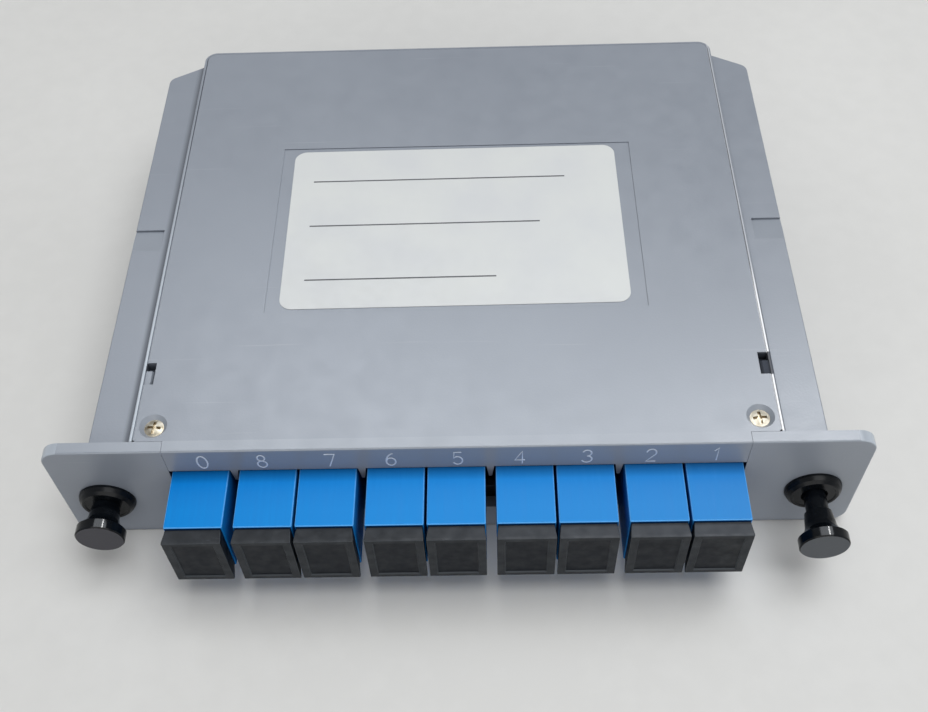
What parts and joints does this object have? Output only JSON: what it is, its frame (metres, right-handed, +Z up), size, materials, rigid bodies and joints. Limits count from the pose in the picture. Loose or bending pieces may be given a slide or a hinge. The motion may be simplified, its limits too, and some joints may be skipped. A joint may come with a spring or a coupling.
{
  "type": "plc fibre splitter",
  "caption": "Slide-in fibre splitter cassette: flat grey housing with guide wings, front panel with a row of capped blue adapters and a push-pull latch at each end.",
  "frame": {"origin": "on the underside, at mid width, in the plane of the front panel's back face", "axes": "+X along the front panel to the right as seen from the front, +Y from the panel to the back, +Z up"},
  "size_m": [0.13, 0.108, 0.025],
  "materials": {
    "housing": "fine moulded satin, blue grey",
    "screw": "nickel plated",
    "label": "smooth white, bare",
    "zirconia": "polished white",
    "latch": "black moulded",
    "case": "drawn tube",
    "chip": "polished glass",
    "bung": "black potting",
    "adapter": "blue moulded satin",
    "connector": "blue moulded",
    "fibre": "white tight buffer",
    "cap": "charcoal, scuffed"
  },
  "bodies": {
    "cassette": {"base_shell": "housing", "top_cover": "housing", "cover_screws": "screw", "label": "label", "alignment_sleeves": "zirconia", "ferrules": "zirconia", "latch_grommet_left": "latch", "latch_grommet_right": "latch", "splitter_case": "case", "waveguide_chip": "chip", "fibre_array_in": "chip", "fibre_array_out": "chip", "end_bung_in": "bung", "end_bung_out": "bung", "adapter_in": "adapter", "adapter_8": "adapter", "adapter_7": "adapter", "adapter_6": "adapter", "adapter_5": "adapter", "adapter_4": "adapter", "adapter_3": "adapter", "adapter_2": "adapter", "adapter_1": "adapter", "connector_in": "connector", "connector_8": "connector", "connector_7": "connector", "connector_6": "connector", "connector_5": "connector", "connector_4": "connector", "connector_3": "connector", "connector_2": "connector", "connector_1": "connector", "fibre_in": "fibre", "fibre_8": "fibre", "fibre_7": "fibre", "fibre_6": "fibre", "fibre_5": "fibre", "fibre_4": "fibre", "fibre_3": "fibre", "fibre_2": "fibre", "fibre_1": "fibre"},
    "cap_in": {"dust_cap_in": "cap"},
    "cap_8": {"dust_cap_8": "cap"},
    "cap_7": {"dust_cap_7": "cap"},
    "cap_6": {"dust_cap_6": "cap"},
    "cap_5": {"dust_cap_5": "cap"},
    "cap_4": {"dust_cap_4": "cap"},
    "cap_3": {"dust_cap_3": "cap"},
    "cap_2": {"dust_cap_2": "cap"},
    "cap_1": {"dust_cap_1": "cap"},
    "plunger_left": {"latch_plunger_left": "latch"},
    "plunger_right": {"latch_plunger_right": "latch"}
  },
  "joints": [
    {"name": "cap_in_pull", "type": "slide", "parent": "cassette", "child": "cap_in", "axis": [0, -1, 0], "range_m": [0, 0.012]},
    {"name": "cap_8_pull", "type": "slide", "parent": "cassette", "child": "cap_8", "axis": [0, -1, 0], "range_m": [0, 0.012]},
    {"name": "cap_7_pull", "type": "slide", "parent": "cassette", "child": "cap_7", "axis": [0, -1, 0], "range_m": [0, 0.012]},
    {"name": "cap_6_pull", "type": "slide", "parent": "cassette", "child": "cap_6", "axis": [0, -1, 0], "range_m": [0, 0.012]},
    {"name": "cap_5_pull", "type": "slide", "parent": "cassette", "child": "cap_5", "axis": [0, -1, 0], "range_m": [0, 0.012]},
    {"name": "cap_4_pull", "type": "slide", "parent": "cassette", "child": "cap_4", "axis": [0, -1, 0], "range_m": [0, 0.012]},
    {"name": "cap_3_pull", "type": "slide", "parent": "cassette", "child": "cap_3", "axis": [0, -1, 0], "range_m": [0, 0.012]},
    {"name": "cap_2_pull", "type": "slide", "parent": "cassette", "child": "cap_2", "axis": [0, -1, 0], "range_m": [0, 0.012]},
    {"name": "cap_1_pull", "type": "slide", "parent": "cassette", "child": "cap_1", "axis": [0, -1, 0], "range_m": [0, 0.012]},
    {"name": "latch_left_pull", "type": "slide", "parent": "cassette", "child": "plunger_left", "axis": [0, -1, 0], "range_m": [0, 0.0033]},
    {"name": "latch_right_push", "type": "slide", "parent": "cassette", "child": "plunger_right", "axis": [0, 1, 0], "range_m": [0, 0.0033]}
  ]
}
